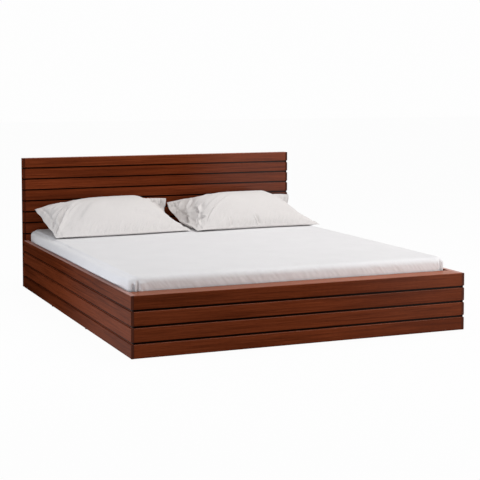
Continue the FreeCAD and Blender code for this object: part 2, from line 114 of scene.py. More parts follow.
def outlook(tree):
    """Which way the surface looks, axis by axis."""
    normal = place(tree, "ShaderNodeNewGeometry").outputs["Normal"]
    return place(tree, "ShaderNodeSeparateXYZ", {0: normal}).outputs


surface = {"Colour": "Color", "Roughness": "Float", "Relief": "Float"}


def shared_group(name, takes, gives=surface, kind="Shader"):
    """A node group with named sockets: the group, what it is given and what it gives."""
    group = bpy.data.node_groups.new(name, kind + "NodeTree")
    for way, sockets in (("INPUT", takes), ("OUTPUT", gives)):
        for title, value in sockets.items():
            group.interface.new_socket(name=title, in_out=way, socket_type="NodeSocket" + value)
    return group, group.nodes.new("NodeGroupInput").outputs, group.nodes.new("NodeGroupOutput").inputs


def bare_finish(name):
    """A new material and its node tree."""
    material = bpy.data.materials.new(name)
    material.use_nodes = True
    return material, material.node_tree


def surfaced(material, links, relief, strength, depth, constants):
    """The material, fed with what changes over its surface, a relief as bump, and constants."""
    tree = material.node_tree
    shader = tree.nodes["Principled BSDF"]
    bump = added(tree, "ShaderNodeBump", {"Height": relief, "Strength": strength, "Distance": depth})
    for socket, output in {**links, "Normal": bump}.items():
        tree.links.new(output, shader.inputs[socket])
    for socket, value in constants.items():
        shader.inputs[socket].default_value = value
    return material


def straight_grain():
    """Streaks, pores and slow changes of tone along X, different for each board number."""
    takes = {"Along": "Vector", "Board": "Float", "Dark": "Color", "Middle": "Color", "Light": "Color",
             "Pores": "Float"}
    group, given, result = shared_group("straight_grain", takes)

    def streaks(along, across, detail):
        drawn = stretched(group, given["Along"], (along, across, across))
        return mottled(group, drawn, 1.0, detail, given["Board"])

    broad, fine = streaks(1.1, 60, 3), streaks(5, 330, 2)
    pore, drift = streaks(34, 1500, 0), streaks(0.9, 4, 1)
    body = mixed(group, spread(group, broad, 0.3, 0.7), given["Dark"], given["Middle"])
    lit = mixed(group, spread(group, reckoned(group, "ADD", fine, drift), 0.8, 1.3), body, given["Light"])
    open_pore = reckoned(group, "MULTIPLY", spread(group, pore, 0.58, 0.74), given["Pores"])
    pore_shade = (0.35, 0.28, 0.25, 1)
    pored = mixed(group, open_pore, lit, pore_shade, "MULTIPLY")
    chance = added(group, "ShaderNodeTexWhiteNoise", {"W": given["Board"]}, noise_dimensions="1D")
    darkest, lightest = 0.96, 1.04
    smoothest, roughest = 0.36, 0.5
    group.links.new(scaled(group, pored, spread(group, chance, 0, 1, darkest, lightest)), result["Colour"])
    group.links.new(spread(group, fine, 0.2, 0.8, smoothest, roughest), result["Roughness"])
    group.links.new(reckoned(group, "SUBTRACT", fine, open_pore), result["Relief"])
    return group


grain = straight_grain()
soaked_end = seen(60, 26, 15)
# Painted shade: the near-black colour of the tongues at the back of the gaps between planks.
painted_gap_shade = seen(16, 8, 5)
board_step = 7.31


def grained(name, axes, colours, pores, gloss=0.0, rows=None, finish=None, top_sheen=None, waxed=None,
            butted=None, stock=0.0):
    """A wood material whose grain runs along the first of the three axes.

    Rows are the lowest plank's foot, the pitch, a plank's height and how much of a gap's foot keeps the
    plank's colour; above that, the tongue in the gap is coloured near black as a painted shade. Each row is a
    board of its own. A finish gives a new colour for a tree, a place and a colour.
    A top sheen is a colour, a shine and a height: upward faces above that height get a painted sheen, lighter
    than the wood, and the real shine of a coat. Waxed is where along the grain the wax is dull and where it
    is bright, and how bright. Butted is how far from the middle the piece ends at a joint, where stain has
    gathered. Stock says from which boards the piece was cut.
    """
    material, tree = bare_finish(name)
    spot = place(tree, "ShaderNodeTexCoord").outputs["Object"]
    split = place(tree, "ShaderNodeSeparateXYZ", {0: spot}).outputs
    turned = {number: split[axis] for number, axis in enumerate(axes)}
    along = added(tree, "ShaderNodeCombineXYZ", turned)
    dark, middle, light = colours
    fill = {"Along": along, "Dark": dark, "Middle": middle, "Light": light, "Pores": pores}
    streaked = place(tree, "ShaderNodeGroup", fill, node_tree=grain)
    colour = streaked.outputs["Colour"]
    shines = []
    # Painted sheen: upward faces above the height are coloured lighter; the coat shine there is real.
    if top_sheen:
        sheen_colour, shine, height = top_sheen
        sheen_brightening, sheen_colour_share, soaked_share = 2.2, 0.45, 0.75
        facing = outlook(tree)
        level = spread(tree, facing["Z"], 0.5, 0.95)
        high_up = spread(tree, split["Z"], height - 0.005, height - 0.003)
        sheen_mask = reckoned(tree, "MULTIPLY", level, high_up)
        painted_sheen = mixed(tree, sheen_colour_share, scaled(tree, colour, sheen_brightening), sheen_colour)
        colour = mixed(tree, sheen_mask, colour, painted_sheen)
        shines.append(reckoned(tree, "MULTIPLY", sheen_mask, shine))
        end_on = reckoned(tree, "ABSOLUTE", facing[axes[0]])
        colour = mixed(tree, spread(tree, end_on, 0.7, 0.9, 0, soaked_share), colour, soaked_end)
    if butted:
        joint_share = 0.85
        from_middle = reckoned(tree, "ABSOLUTE", split[axes[0]])
        at_joint = spread(tree, from_middle, butted - 0.003, butted - 0.001, 0, joint_share)
        colour = mixed(tree, at_joint, colour, soaked_end)
    if rows:
        foot, pitch, height, lit = rows
        row = reckoned(tree, "DIVIDE", reckoned(tree, "SUBTRACT", split["Z"], foot), pitch)
        board = reckoned(tree, "FLOOR", row)
        cut_from = reckoned(tree, "ADD", reckoned(tree, "MULTIPLY", board, board_step), stock)
        tree.links.new(cut_from, streaked.inputs["Board"])
        up_plank = reckoned(tree, "MULTIPLY", reckoned(tree, "SUBTRACT", row, board), pitch)
        # Painted shade: the tongue at the back of each gap is coloured near black.
        gap_shade_mask = spread(tree, up_plank, height + lit + 0.0002, height + lit + 0.0012)
        colour = mixed(tree, gap_shade_mask, colour, painted_gap_shade)
    if finish:
        colour = finish(tree, split, colour)
    if waxed:
        dull_end, bright_end, shine = waxed
        shines.append(spread(tree, split[axes[0]], dull_end, bright_end, 0, shine))
    links = {"Base Color": colour, "Roughness": streaked.outputs["Roughness"]}
    constants = {"Specular IOR Level": gloss}
    if shines:
        links["Coat Weight"] = reckoned(tree, "MAXIMUM", shines[0], shines[-1])
        constants["Coat Roughness"] = 0.3
    return surfaced(material, links, streaked.outputs["Relief"], 0.12, 0.0006, constants)


def dress(material, *starts):
    """Gives a material to every node whose name begins in one of these ways."""
    for name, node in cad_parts.items():
        if name.startswith(starts):
            node.data.materials.clear()
            node.data.materials.append(material)


pine = dict(colours=(seen(158, 116, 72), seen(198, 158, 108), seen(216, 184, 138)), pores=0.15, gloss=0.1)
dress(grained("planed_rails", "XYZ", **pine), "headboard_middle_rail", "headboard_bottom_rail")
dress(grained("planed_posts", "ZXY", **pine), "footboard_post", "centre_leg")
dress(grained("planed_battens", "YXZ", **pine), "deck_ledge", "centre_beam")


# Plywood. The deck, the two boards and the rib of the footboard box and the lower headboard board are birch
# plywood, pale on the face, with light and dark plies on the sawn edges. The headboard's back is stained.
def plies(thickness_axis, pitch, pale, brown):
    """A finish that shows the plies on every face that lies along the thickness."""
    def finish(tree, split, colour):
        flat_on = reckoned(tree, "ABSOLUTE", outlook(tree)[thickness_axis])
        layer = reckoned(tree, "PINGPONG", reckoned(tree, "DIVIDE", split[thickness_axis], pitch), 1.0)
        striped = mixed(tree, spread(tree, layer, 0.35, 0.65), pale, brown)
        return mixed(tree, spread(tree, flat_on, 0.4, 0.6, 1, 0), colour, striped)
    return finish


birch = dict(colours=(seen(186, 150, 106), seen(212, 180, 136), seen(224, 196, 156)), pores=0.2, gloss=0.15)
birch_plies = dict(pitch=0.0026, pale=seen(214, 184, 142), brown=seen(150, 108, 68))
dress(grained("birch_deck", "XYZ", finish=plies("Z", **birch_plies), **birch), "deck_board")
dress(grained("birch_boards", "XZY", finish=plies("Y", **birch_plies), **birch),
      "headboard_lower", "footboard_front", "footboard_inner")
dress(grained("birch_rib", "ZYX", finish=plies("X", **birch_plies), **birch), "footboard_rib")
stain_pores = 0.5
back_stain = (seen(52, 25, 14), seen(72, 36, 21), seen(88, 46, 28))
back_plies = plies("Y", pitch=0.0014, pale=seen(52, 25, 14), brown=seen(30, 14, 8))
dress(grained("stained_back", "XZY", back_stain, stain_pores, gloss=0.1, finish=back_plies), "headboard_back")


# Steel and nylon. The corner angles, the shoes of the beam and the bolts are zinc-plated steel with faint
# spangle; the glides are dark moulded nylon, dulled by the floor.
def dimmed(colour, share):
    """A darker shade of a colour."""
    return [share * part for part in colour[:3]] + [1]


def plated(name, colour, metallic, rough, spangle, depth):
    """A metal or plastic with cells of slightly different brightness and a fine uneven skin."""
    material, tree = bare_finish(name)
    spot = place(tree, "ShaderNodeTexCoord").outputs["Object"]
    cells = place(tree, "ShaderNodeTexVoronoi", {"Vector": spot, "Scale": 1 / spangle}).outputs["Color"]
    cell = added(tree, "ShaderNodeSeparateColor", {0: cells})
    scuffs = mottled(tree, spot, 240.0, 4.0)
    links = {"Base Color": mixed(tree, cell, dimmed(colour, 0.82), colour),
             "Roughness": spread(tree, scuffs, 0.3, 0.7, rough - 0.08, rough + 0.1)}
    return surfaced(material, links, scuffs, 0.2, depth, {"Metallic": metallic})


zinc = plated("zinc_plate", seen(196, 198, 202), metallic=1.0, rough=0.34, spangle=0.006, depth=0.0002)
nylon = plated("moulded_nylon", seen(52, 50, 49), metallic=0.0, rough=0.55, spangle=0.002, depth=0.0003)
dress(zinc, "corner_angles", "beam_hangers", "rail_bolts", "post_bolts")
dress(nylon, "floor_glides")


# Stained planks. Every outer face of the bed is clad with tongued hardwood planks, each cut from its own
# board, stained red brown and waxed. The tongues in the gaps are coloured near black, a painted shade, and
# upward faces get a lighter painted sheen. The footboard's cap, the side rails, and the headboard's top rail
# and posts, whose upper ends show, have the same finish.
stain = (seen(77, 32, 15), seen(97, 43, 21), seen(119, 57, 32))
head_stain = (seen(82, 34, 16), seen(104, 46, 22), seen(128, 60, 33))
row_foot, row_top = (corner.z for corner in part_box("left_side_plank_4"))
side_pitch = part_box("left_side_plank_3")[1].z - row_top
side_top, head_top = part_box("left_side_plank_1")[1].z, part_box("headboard_plank_01")[1].z
head_pitch = head_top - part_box("headboard_plank_02")[1].z
plank_gap = side_pitch - (row_top - row_foot)
foot_lip, side_lip, head_lip = 0.0, 0.003, 0.002
foot_rows = (row_foot, side_pitch, side_pitch - plank_gap, foot_lip)
side_rows = (row_foot, side_pitch, side_pitch - plank_gap, side_lip)
head_rows = (row_foot, head_pitch, head_pitch - plank_gap, head_lip)
foot_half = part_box("footboard_plank_1")[1].x
# Painted sheen colours for upward faces, with their coat shine and the height above which they show.
side_top_sheen = (seen(208, 170, 160), 0.55, side_top)
head_top_sheen = (seen(144, 88, 62), 0.45, head_top)
cap_top_sheen = (seen(150, 94, 64), 0.53, side_top)
foot_top_sheen = (seen(168, 106, 80), 0.4, 0.0)
side_finish = dict(rows=side_rows, waxed=(0.3, -1.1, 0.16), top_sheen=side_top_sheen, stock=11.3)
planks = {
    "headboard_plank": ("XYZ", dict(rows=head_rows, waxed=(0.1, 0.85, 0.38), top_sheen=head_top_sheen, stock=3.1)),
    "headboard_end_planks": ("YXZ", dict(rows=head_rows, top_sheen=head_top_sheen)),
    "headboard_top_rail": ("XYZ", dict(top_sheen=head_top_sheen)),
    "headboard_post": ("ZXY", dict(top_sheen=head_top_sheen)),
    "left_side_plank": ("YXZ", side_finish),
    "right_side_plank": ("YXZ", side_finish),
    "footboard_plank": ("XYZ", dict(rows=foot_rows, waxed=(-0.1, 0.85, 0.1), top_sheen=foot_top_sheen,
                                    butted=foot_half)),
    "side_rail": ("YXZ", dict(top_sheen=side_top_sheen)),
    "footboard_top_cap": ("XYZ", dict(top_sheen=cap_top_sheen, butted=foot_half)),
}
for start, (axes, options) in planks.items():
    colours = head_stain if start.startswith("headboard") else stain
    dress(grained("stained_" + start, axes, colours, stain_pores, **options), start)


# Screws. The thin back of the headboard is held by zinc-plated pan-head screws, driven into the three rails.
# Each head has a cross recess and has stopped at an angle of its own.
def repeater(name, item, sizes):
    """A Geometry Nodes tree that sets an item, turned by chance, at even steps along lines."""
    numbers = dict.fromkeys(("Spacing", "Turn", *sizes), "Float")
    takes = {"Lines": "Geometry", **numbers, "Finish": "Material"}
    tree, given, result = shared_group(name, takes, {"Pieces": "Geometry"}, "Geometry")
    curve = added(tree, "GeometryNodeMeshToCurve", {"Mesh": given["Lines"]})
    fill = {"Curve": curve, "Length": given["Spacing"]}
    steps = added(tree, "GeometryNodeResampleCurve", fill, mode="LENGTH")
    onward = added(tree, "GeometryNodeInputTangent")
    turned = added(tree, "FunctionNodeAlignRotationToVector", {"Vector": onward}, axis="X")
    fill = {"Points": steps, "Instance": item(tree, given), "Rotation": turned}
    placed = added(tree, "GeometryNodeInstanceOnPoints", fill)
    turn_seed = 5
    fill = {"Max": given["Turn"], "Seed": turn_seed}
    angles = place(tree, "FunctionNodeRandomValue", fill, data_type="FLOAT").outputs
    angle = next(socket for socket in angles if socket.enabled)
    spin = added(tree, "ShaderNodeCombineXYZ", {"Y": angle})
    spun = added(tree, "GeometryNodeRotateInstances", {"Instances": placed, "Rotation": spin})
    solid = added(tree, "GeometryNodeRealizeInstances", {0: spun})
    fill = {"Geometry": solid, "Material": given["Finish"]}
    tree.links.new(added(tree, "GeometryNodeSetMaterial", fill), result[0])
    return tree


scene = bpy.context.scene


def linked(name, data):
    """A new object in the scene."""
    piece = bpy.data.objects.new(name, data)
    scene.collection.objects.link(piece)
    return piece


def repeated(name, points, edges, tree, values):
    """A plain mesh object of a repeater's items along lines between points."""
    lines = bpy.data.meshes.new(name + "_lines")
    lines.from_pydata([tuple(point) for point in points], edges, [])
    holder = linked(name + "_lines", lines)
    rows = holder.modifiers.new("rows", "NODES")
    rows.node_group = tree
    for socket in tree.interface.items_tree:
        if socket.in_out == "INPUT" and socket.name in values:
            rows[socket.identifier] = values[socket.name]
    made = bpy.data.meshes.new_from_object(holder.evaluated_get(bpy.context.evaluated_depsgraph_get()))
    holder.modifiers.remove(rows)
    bpy.data.objects.remove(holder)
    return linked(name, made)


def screw_head(tree, given):
    """A pan head that looks along +Y, with a cross cut into it."""
    rim_points = 24
    fill = {"Vertices": rim_points, "Depth": given["Head Height"], "Radius Top": given["Crown Radius"],
            "Radius Bottom": given["Head Radius"]}
    head = added(tree, "GeometryNodeMeshCone", fill)
    cuts = place(tree, "GeometryNodeJoinGeometry")
    above = added(tree, "ShaderNodeCombineXYZ", {"Z": given["Head Height"]})
    for long_side, short_side in ("XY", "YX"):
        fill = {long_side: given["Crown Radius"], short_side: given["Slot Width"], "Z": given["Head Height"]}
        size = added(tree, "ShaderNodeCombineXYZ", fill)
        bar = added(tree, "GeometryNodeMeshCube", {"Size": size})
        raised = added(tree, "GeometryNodeTransform", {"Geometry": bar, "Translation": above})
        tree.links.new(raised, cuts.inputs[0])
    fill = {"Mesh 1": head, "Mesh 2": cuts.outputs[0]}
    cut = added(tree, "GeometryNodeMeshBoolean", fill, operation="DIFFERENCE")
    upright = (-math.pi / 2, 0, 0)
    return added(tree, "GeometryNodeTransform", {"Geometry": cut, "Rotation": upright})


back_low, back_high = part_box("headboard_back_panel")
screw_inset = 0.03
lowest_screw, highest_screw = back_low.z + screw_inset / 2, back_high.z - screw_inset / 2
screw_points, screw_edges = [], []
for rail in ("headboard_top_rail", "headboard_middle_rail", "headboard_bottom_rail"):
    rail_low, rail_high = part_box(rail)
    height = min(max((rail_low.z + rail_high.z) / 2, lowest_screw), highest_screw)
    screw_edges.append((len(screw_points), len(screw_points) + 1))
    for end in (back_low.x + screw_inset, back_high.x - screw_inset):
        screw_points.append((end, back_high.y, height))
screw_tree = repeater("screw_rows", screw_head, ("Head Radius", "Crown Radius", "Head Height", "Slot Width"))
back_screws = repeated("back_panel_screws", screw_points, screw_edges, screw_tree, {
    "Spacing": 0.24, "Turn": math.pi, "Head Radius": 0.0042, "Crown Radius": 0.0031, "Head Height": 0.0022,
    "Slot Width": 0.0008, "Finish": zinc})
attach(back_screws, "frame")


# Mattress. A foam block in a ribbed knitted cover, closed with a piped seam round its lower edge. It lies
# loose on the deck, and the sheet hides all of it but its underside and the lowest strip of its sides.
def denser_at_ends(count):
    """Points from -1 to 1 that lie closer together towards both ends."""
    share = np.linspace(0, 1, count + 1)
    return 2 * (0.5 * share + 0.25 * (1 - np.cos(np.pi * share))) - 1


def wrapped_block(half_x, half_y, corner, middle, profile, cells):
    """A cover over a rounded block: a ring for each (inset, height, tilt) of the profile, and a level middle.

    Gives the points, the faces, the outward directions, and how many points a ring has.
    """
    across, along, arc = cells
    run_x, run_y = denser_at_ends(across), denser_at_ends(along)
    sides = (((0, -1), [(i, 0) for i in range(across + 1)]),
             ((1, 0), [(across, j) for j in range(along + 1)]),
             ((0, 1), [(i, along) for i in range(across, -1, -1)]),
             ((-1, 0), [(0, j) for j in range(along, -1, -1)]))
    border = []
    for quarter, (towards, cells_beside) in enumerate(sides):
        border += [(cell, towards) for cell in cells_beside]
        for step in range(1, arc):
            angle = math.pi / 2 * (quarter - 1 + step / arc)
            border.append((cells_beside[-1], (math.cos(angle), math.sin(angle))))

    def number(i, j):
        return i * (along + 1) + j

    inner = [number(*cell) for cell, _ in border]
    facing = np.array([towards for _, towards in border])
    reached = np.array([(run_x[i], run_y[j]) for (i, j), _ in border])
    plan = reached * (half_x - corner, half_y - corner) + corner * facing
    grid_x, grid_y = np.meshgrid(run_x * (half_x - middle), run_y * (half_y - middle), indexing="ij")
    grid = np.column_stack((grid_x.ravel(), grid_y.ravel()))
    count = len(plan)
    points, outward = [], []
    for inset, height, tilt in profile:
        level = plan + (grid[inner] - plan) * (inset / middle)
        points.append(np.column_stack((level, np.full(count, height))))
        outward.append(np.column_stack((facing * math.cos(tilt), np.full(count, math.sin(tilt)))))
    top = profile[-1][1]
    points.append(np.column_stack((grid, np.full(len(grid), top))))
    outward.append(np.tile((0.0, 0.0, 1.0), (len(grid), 1)))
    last, base = (len(profile) - 1) * count, len(profile) * count
    faces = []
    for ring in range(0, last, count):
        above = ring + count
        for here in range(count):
            beside = (here + 1) % count
            faces.append((ring + here, ring + beside, above + beside, above + here))
    for here in range(count):
        beside = (here + 1) % count
        face = [last + here, last + beside, base + inner[beside]]
        if inner[here] != inner[beside]:
            face.append(base + inner[here])
        faces.append(tuple(face))
    for i in range(across):
        for j in range(along):
            square = ((i, j), (i + 1, j), (i + 1, j + 1), (i, j + 1))
            faces.append(tuple(base + number(*spot) for spot in square))
    return np.vstack(points), faces, np.vstack(outward), count


def rolled_profile(low, top, roll, middle, climb, curve):
    """Side, rounded edge and the first of the top, as (inset, height, tilt)."""
    side = [(0.0, low + (top - roll - low) * step / climb, 0.0) for step in range(climb)]
    bend = [(roll * (1 - math.cos(turn)), top - roll + roll * math.sin(turn), turn)
            for turn in np.linspace(0, math.pi / 2, curve + 1)]
    return side + bend + [((roll + middle) / 2, top, math.pi / 2)]


def laid_out(name, points, faces, flat=None):
    """A smooth mesh object at the origin, with its flat pattern in metres as its UV map."""
    mesh = bpy.data.meshes.new(name)
    mesh.from_pydata([tuple(point) for point in points], [], faces)
    mesh.polygons.foreach_set("use_smooth", np.ones(len(mesh.polygons), dtype=bool))
    if flat is not None:
        corners = np.empty(len(mesh.loops), dtype=np.int32)
        mesh.loops.foreach_get("vertex_index", corners)
        mesh.uv_layers.new(name="flat").data.foreach_set("uv", flat[corners].astype(np.float32).ravel())
    mesh.update()
    return linked(name, mesh)


def wave_scale(pitch):
    """The scale at which a Wave node's bands lie this far apart."""
    return 2 * math.pi / (20 * pitch)


def knitted(name, colour, rib, depth):
    """A knitted cover with fine ribs across the bed."""
    material, tree = bare_finish(name)
    spot = place(tree, "ShaderNodeTexCoord").outputs["Object"]
    fill = {"Vector": spot, "Scale": wave_scale(rib), "Distortion": 0.4}
    ribs = place(tree, "ShaderNodeTexWave", fill, bands_direction="Y").outputs["Fac"]
    shade = mixed(tree, mottled(tree, spot, 60.0, 3.0), colour, dimmed(colour, 0.9))
    constants = {"Roughness": 0.85, "Sheen Weight": 0.2, "Specular IOR Level": 0.2}
    return surfaced(material, {"Base Color": shade}, ribs, 0.5, depth, constants)


bed_low, bed_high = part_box("mattress")
bed_half_x, bed_half_y = (bed_high.x - bed_low.x) / 2, (bed_high.y - bed_low.y) / 2
cover_ease, cover_middle = 0.003, 0.09
downwards = -math.pi / 2
lower_edge = [(cover_middle, 0, downwards), (0.02, 0, downwards), (0.008, 0.002, -1.0), (0.004, 0.006, -0.4)]
piping = [(-0.0005, 0.0075, -0.6), (-0.002, 0.0095, 0.0), (-0.0005, 0.0115, 0.6)]
cover_base = [(inset, bed_low.z + height, tilt) for inset, height, tilt in lower_edge + piping]
cover_side = rolled_profile(bed_low.z + 0.012, bed_high.z - cover_ease, roll=0.030, middle=cover_middle,
                            climb=6, curve=8)
cover_points, cover_faces, _, ring_size = wrapped_block(
    bed_half_x - cover_ease, bed_half_y - cover_ease, corner=0.085, middle=cover_middle,
    profile=cover_base + cover_side, cells=(40, 48, 8))
cover_faces.append(tuple(range(ring_size - 1, -1, -1)))
cover_points[:, 1] += (bed_low.y + bed_high.y) / 2
mattress_cover = laid_out("mattress_cover", cover_points, cover_faces)
mattress_cover.data.materials.append(knitted("ribbed_ticking", seen(226, 224, 218), rib=0.006, depth=0.0012))
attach(mattress_cover, "mattress")
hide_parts("mattress")


# Fitted sheet. White cotton, sewn into four corners and drawn over the mattress by an elastic hem, so that it
# is tight on top, lightly creased at the foot, and tucked into small pleats below its foot corners. On the
# left it bulges over the side rail.
def woven_cotton():
    """Plain weave with thicker threads here and there, and a slow change of tone, on a pattern in metres."""
    takes = {"Flat": "Vector", "Colour": "Color", "Thread": "Float", "Slub": "Float"}
    group, given, result = shared_group("woven_cotton", takes)
    flat = given["Flat"]

    def threads(direction):
        fill = {"Vector": scaled(group, flat, given["Thread"]), "Scale": 1.0}
        return place(group, "ShaderNodeTexWave", fill, bands_direction=direction).outputs["Fac"]

    def slubs(stretch, seed):
        return mottled(group, stretched(group, flat, stretch), 1.0, 2.0, seed)

    crossing = reckoned(group, "MULTIPLY", threads("X"), threads("Y"))
    thick = reckoned(group, "MAXIMUM", slubs((14, 420, 1), 1.3), slubs((420, 14, 1), 4.7))
    uneven = reckoned(group, "ADD", thick, mottled(group, flat, 7.0, 4.0))
    darkest, lightest = 0.965, 1.02
    tone = spread(group, uneven, 0.7, 1.4, darkest, lightest, "LINEAR")
    roughest, smoothest = 0.92, 0.78
    raised = reckoned(group, "MULTIPLY", thick, given["Slub"])
    group.links.new(scaled(group, given["Colour"], tone), result["Colour"])
    group.links.new(spread(group, thick, 0.3, 0.8, roughest, smoothest, "LINEAR"), result["Roughness"])
    group.links.new(reckoned(group, "ADD", crossing, raised), result["Relief"])
    return group


weave = woven_cotton()
thread_pitch = 0.0011


def cotton(name, colour, slub):
    """A washed cotton: weave, slubs and a faint sheen of loose fibres."""
    material, tree = bare_finish(name)
    flat = added(tree, "ShaderNodeUVMap", uv_map="flat")
    fill = {"Flat": flat, "Colour": colour, "Thread": wave_scale(thread_pitch), "Slub": slub}
    cloth = place(tree, "ShaderNodeGroup", fill, node_tree=weave).outputs
    links = {"Base Color": cloth["Colour"], "Roughness": cloth["Roughness"]}
    constants = {"Sheen Weight": 0.12, "Sheen Roughness": 0.5, "Specular IOR Level": 0.15}
    return surfaced(material, links, cloth["Relief"], 0.3, 0.0004, constants)


def fade(value, start, end):
    """Smooth step from 0 at the start to 1 at the end."""
    share = np.clip((value - start) / (end - start), 0, 1)
    return share * share * (3 - 2 * share)


def hump(value, centre, width):
    """A smooth bump of height 1 round a centre."""
    return np.exp(-((value - centre) / width) ** 2)


def ripple(points, scale, seed):
    """Smooth noise from -1 to 1 at each point."""
    shift = Vector((seed, seed * 1.7, seed * 2.3))
    return np.array([noise.noise(Vector(point) * scale + shift) for point in points])


sheet_low, sheet_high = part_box("fitted_sheet")
sheet_half_x, sheet_half_y = (sheet_high.x - sheet_low.x) / 2, (sheet_high.y - sheet_low.y) / 2
rail_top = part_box("side_rail_left")[1].z
sheet_middle = 0.075
tucked_in = [(0.0, height, 0.0) for height in np.linspace(sheet_low.z, rail_top - 0.012, 5)]
in_view = rolled_profile(rail_top - 0.008, sheet_high.z, roll=0.030, middle=sheet_middle, climb=11, curve=10)
sheet_points, sheet_faces, sheet_out, _ = wrapped_block(
    sheet_half_x, sheet_half_y, corner=0.055, middle=sheet_middle, profile=tucked_in + in_view,
    cells=(330, 44, 40))
sheet_flat = sheet_points[:, :2] + sheet_out[:, :2] * (sheet_high.z - sheet_points[:, 2])[:, None]
sheet_x, sheet_y, sheet_z = sheet_points.T
towards_left, towards_foot = -sheet_out[:, 0], -sheet_out[:, 1]
from_foot, from_head = sheet_y + sheet_half_y, sheet_half_y - sheet_y
hanging = 1 - fade(sheet_z, sheet_high.z - 0.03, sheet_high.z)
on_top = fade(sheet_z, sheet_high.z - 0.012, sheet_high.z)

crease_depth, fine_crease_depth, crease_on_top = 0.0016, 0.0021, 0.35
slanting = np.stack((sheet_x + 0.75 * sheet_z, sheet_y, 0.3 * sheet_z), axis=-1)
creases = crease_depth * ripple(slanting, 23.0, 3.1) + fine_crease_depth * ripple(slanting, 84.0, 8.3)
creased = fade(towards_foot, 0.3, 0.9) * hanging + crease_on_top * on_top * (1 - fade(from_foot, 0.03, 0.16))
moved = creases * creased

top_unevenness = 0.0012
moved += top_unevenness * ripple(sheet_points, 5.0, 1.9) * on_top
left_slack = 0.0035 * (1 + ripple(sheet_points * (0, 1, 0.5), 3.0, 5.5))
moved += left_slack * hanging * fade(towards_left, 0.5, 1.0)
tilt = np.degrees(np.arcsin(np.clip(sheet_out[:, 2], -1, 1)))
shoulder_tilt, shoulder_width = 58, 15
left_shoulder = 0.0028 * (1 + 0.5 * ripple(sheet_points, 9.0, 2.4))
moved -= left_shoulder * hump(tilt, shoulder_tilt, shoulder_width) * fade(towards_left, 0.2, 0.45)

above_rail = sheet_z - rail_top
on_left = fade(towards_left, 0.5, 0.95) * fade(from_foot, 0.05, 0.22) * fade(from_head, 0.05, 0.25)
over_rail = fade(above_rail, 0.0015, 0.011) * (1 - fade(above_rail, 0.016, 0.062))
overhang = 0.019 * (1 + 0.15 * ripple(sheet_points * (0, 1, 0), 4.0, 6.2))
moved += overhang * over_rail * on_left


def pleats(angle, corner_x, spots):
    """Tucks and swells on a foot corner, each with its angle and width in degrees, its depth and its top."""
    reach, ease, tapering = 0.09, 0.03, 0.012
    near = 1 - fade(np.hypot(sheet_x - corner_x, from_foot), reach - ease, reach)
    folds = sum(depth * hump(np.degrees(angle), spot, width) * (1 - fade(sheet_z, top - tapering, top))
                for spot, width, depth, top in spots)
    return near * folds


turned_angle = np.arctan2(sheet_out[:, 1], sheet_out[:, 0])
left_turn = np.where(turned_angle > 0, turned_angle - 2 * math.pi, turned_angle) + math.pi
moved += pleats(left_turn, -sheet_half_x, [
    (24, 16, 0.005, 0.330), (48, 4, -0.014, 0.312), (58, 6, 0.006, 0.318), (68, 4, -0.008, 0.326),
    (84, 12, 0.004, 0.322)])
moved += pleats(turned_angle + math.pi / 2, sheet_half_x, [
    (8, 8, 0.003, 0.330), (22, 3.5, -0.016, 0.332), (32, 5, 0.008, 0.330), (44, 4, -0.018, 0.338),
    (62, 9, 0.004, 0.330)])
sheet_points = sheet_points + sheet_out * moved[:, None]
sheet_points[:, 1] += (sheet_low.y + sheet_high.y) / 2
bed_sheet = laid_out("bed_sheet", sheet_points, sheet_faces, sheet_flat)
cloth_wall = bed_sheet.modifiers.new("cloth_wall", "SOLIDIFY")
cloth_wall.thickness = 0.0012
cloth_wall.offset = -1.0
bed_sheet.data.materials.append(cotton("white_sheet_cotton", seen(233, 232, 233), slub=0.5))
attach(bed_sheet, "mattress")
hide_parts("fitted_sheet")


# Pillows. Each is a fibre filling in a wider cotton case, which is taut over the crown, and slack and creased
# at its ends, where hems are sewn. The front seam lies on the sheet, and the back one leans at the headboard.
def blown_up(piece, flat_points, stuffed, pinned, pressure, frames):
    """Cloth simulation of a case round its filling: where its points come to rest."""
    piece.shape_key_add(name="Basis")
    flat_key = piece.shape_key_add(name="flat_case")
    flat_key.data.foreach_set("co", flat_points.astype(np.float32).ravel())
    least_weight = 0.001
    for title, weights in (("stuffed", stuffed), ("pinned", pinned)):
        group = piece.vertex_groups.new(name=title)
        for number, weight in enumerate(weights):
            if weight > least_weight:
                group.add([number], float(weight), "REPLACE")
    settings = piece.modifiers.new("case", "CLOTH").settings
    cloth = {"rest_shape_key": flat_key, "quality": 6, "mass": 0.2, "tension_stiffness": 25,
             "compression_stiffness": 25, "shear_stiffness": 10, "bending_stiffness": 0.6, "air_damping": 4,
             "use_pressure": True, "uniform_pressure_force": pressure, "vertex_group_pressure": "stuffed",
             "vertex_group_mass": "pinned"}
    for option, value in cloth.items():
        setattr(settings, option, value)
    settings.effector_weights.gravity = 0
    for step in range(1, frames + 1):
        scene.frame_set(step)
    settled = piece.evaluated_get(bpy.context.evaluated_depsgraph_get()).data
    result = np.empty(len(settled.vertices) * 3, dtype=np.float32)
    settled.vertices.foreach_get("co", result)
    scene.frame_set(1)
    return result.reshape(-1, 3).astype(float)


def eased(grid, rounds):
    """A grid of points with its smallest ripples smoothed, its border held."""
    for _ in range(rounds):
        mean = (grid[:-2, 1:-1] + grid[2:, 1:-1] + grid[1:-1, :-2] + grid[1:-1, 2:]) / 4
        grid[1:-1, 1:-1] += 0.5 * (mean - grid[1:-1, 1:-1])
    return grid


